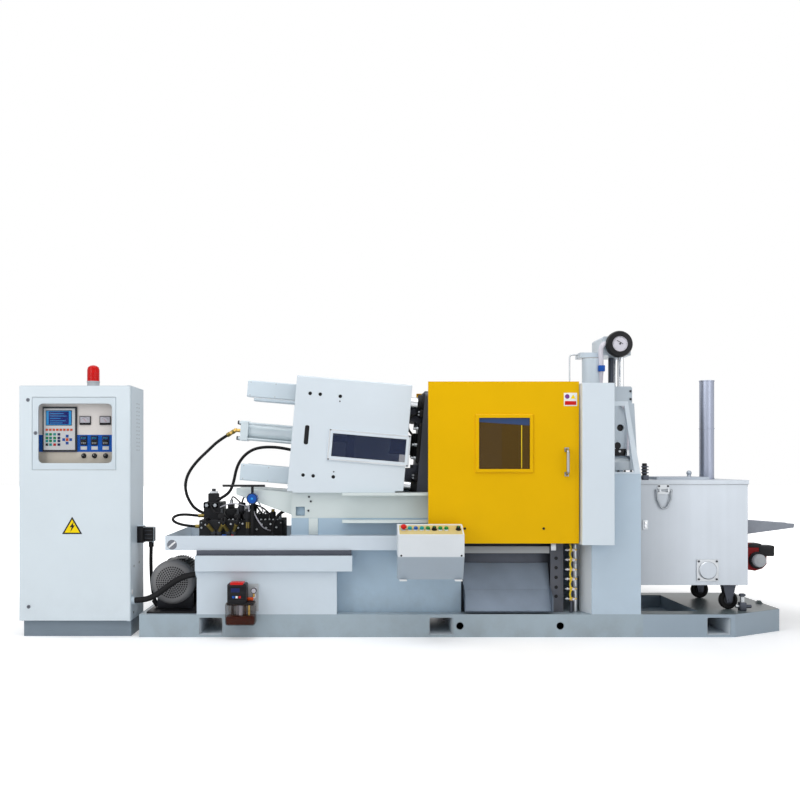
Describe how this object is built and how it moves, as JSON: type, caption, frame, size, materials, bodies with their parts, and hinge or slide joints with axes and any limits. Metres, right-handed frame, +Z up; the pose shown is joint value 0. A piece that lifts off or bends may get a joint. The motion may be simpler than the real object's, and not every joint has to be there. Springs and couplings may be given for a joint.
{
  "type": "hot-chamber die casting machine",
  "caption": "Hot-chamber die casting machine with tilted toggle clamp, sliding safety door, furnace and control cabinet on one base.",
  "frame": {"origin": "centre of the base frame's underside, on the floor", "axes": "+X from the control cabinet to the furnace, -Y towards the operator, +Z up"},
  "size_m": [5.3121, 1.49, 2.044],
  "materials": {
    "base_paint": "satin",
    "machine_white": "satin",
    "bed_paint": "satin",
    "cabinet_paint": "satin",
    "safety_yellow": "semi_gloss",
    "machined_steel": "brushed",
    "bright_rod": "polished",
    "dark_casting": "rough",
    "stainless": "brushed",
    "black_rubber": "matte",
    "clear_glass": "gloss",
    "signal_red": "gloss",
    "black_plastic": "matte",
    "burner_red": "gloss"
  },
  "bodies": {
    "machine": {"base_frame": "base_paint", "furnace_deck": "base_paint", "oil_tank": "base_paint", "drip_tray": "base_paint", "bed_pedestal": "base_paint", "bed_beams": "bed_paint", "tail_platen": "machined_steel", "fixed_platen": "machined_steel", "tie_bars": "bright_rod", "tie_bar_covers": "machine_white", "closing_cylinder": "cabinet_paint", "toggle_guard": "machine_white", "guard_panes": "clear_glass", "rear_guard": "safety_yellow", "door_posts": "machine_white", "columns": "base_paint", "pot_housing": "machine_white", "injection_cylinder": "machine_white", "injection_frame": "machine_white", "accumulator": "machine_white", "guide_rods": "bright_rod", "pressure_gauge": "black_rubber", "furnace_shell": "stainless", "furnace_lid": "stainless", "chimney": "stainless", "furnace_fittings": "stainless", "caster_forks": "machined_steel", "burner": "burner_red", "feed_chute": "stainless", "casting_chute": "stainless", "die_space_frame": "machined_steel", "water_manifold": "machined_steel", "control_box": "machine_white", "control_buttons": "signal_red", "pump_motor": "dark_casting", "hydraulic_manifold": "dark_casting", "lube_pump": "black_plastic", "cabinet_body": "cabinet_paint", "beacon": "signal_red", "closing_hose": "black_rubber", "tail_hose": "black_rubber", "bed_hose": "black_rubber", "cabinet_cable": "black_rubber", "motor_conduit": "black_rubber"},
    "safety_door": {"safety_door": "safety_yellow", "door_window": "clear_glass", "door_handle": "bright_rod"},
    "platen_carriage": {"moving_platen": "dark_casting", "toggle_linkage": "dark_casting", "ejector_unit": "dark_casting"},
    "plunger": {"plunger": "bright_rod"},
    "cabinet_door": {"cabinet_door": "cabinet_paint", "operator_panel": "machine_white"},
    "operator_window": {"operator_window": "cabinet_paint", "operator_glass": "clear_glass"},
    "furnace_bail": {"furnace_bail": "stainless"},
    "caster_wheel_1": {"caster_wheel_1": "black_rubber"},
    "caster_wheel_2": {"caster_wheel_2": "black_rubber"},
    "caster_wheel_3": {"caster_wheel_3": "black_rubber"},
    "caster_wheel_4": {"caster_wheel_4": "black_rubber"}
  },
  "joints": [
    {"name": "door_slide", "type": "slide", "parent": "machine", "child": "safety_door", "axis": [-1, 0, 0], "range_m": [0, 0.52]},
    {"name": "platen_close", "type": "slide", "parent": "machine", "child": "platen_carriage", "axis": [0.9962, 0, -0.0872], "range_m": [0, 0.3]},
    {"name": "plunger_lift", "type": "slide", "parent": "machine", "child": "plunger", "axis": [0, 0, 1], "range_m": [0, 0.11]},
    {"name": "cabinet_door_hinge", "type": "hinge", "parent": "machine", "child": "cabinet_door", "pos_m": [-2.218, -0.54, 0.86], "axis": [0, 0, 1], "range_deg": [0, 110]},
    {"name": "operator_window_hinge", "type": "hinge", "parent": "cabinet_door", "child": "operator_window", "pos_m": [-2.309, -0.541, 1.3345], "axis": [0, 0, 1], "range_deg": [0, 100]},
    {"name": "bail_hinge", "type": "hinge", "parent": "machine", "child": "furnace_bail", "pos_m": [1.333, -0.408, 0.958], "axis": [-1, 0, 0], "range_deg": [0, 90]},
    {"name": "caster_spin_1", "type": "hinge", "parent": "machine", "child": "caster_wheel_1", "pos_m": [0.98, -0.3, 0.2123], "axis": [0, 1, 0], "continuous": true},
    {"name": "caster_spin_2", "type": "hinge", "parent": "machine", "child": "caster_wheel_2", "pos_m": [0.98, 0.26, 0.2123], "axis": [0, 1, 0], "continuous": true},
    {"name": "caster_spin_3", "type": "hinge", "parent": "machine", "child": "caster_wheel_3", "pos_m": [1.8, -0.3, 0.2123], "axis": [0, 1, 0], "continuous": true},
    {"name": "caster_spin_4", "type": "hinge", "parent": "machine", "child": "caster_wheel_4", "pos_m": [1.8, 0.26, 0.2123], "axis": [0, 1, 0], "continuous": true}
  ]
}
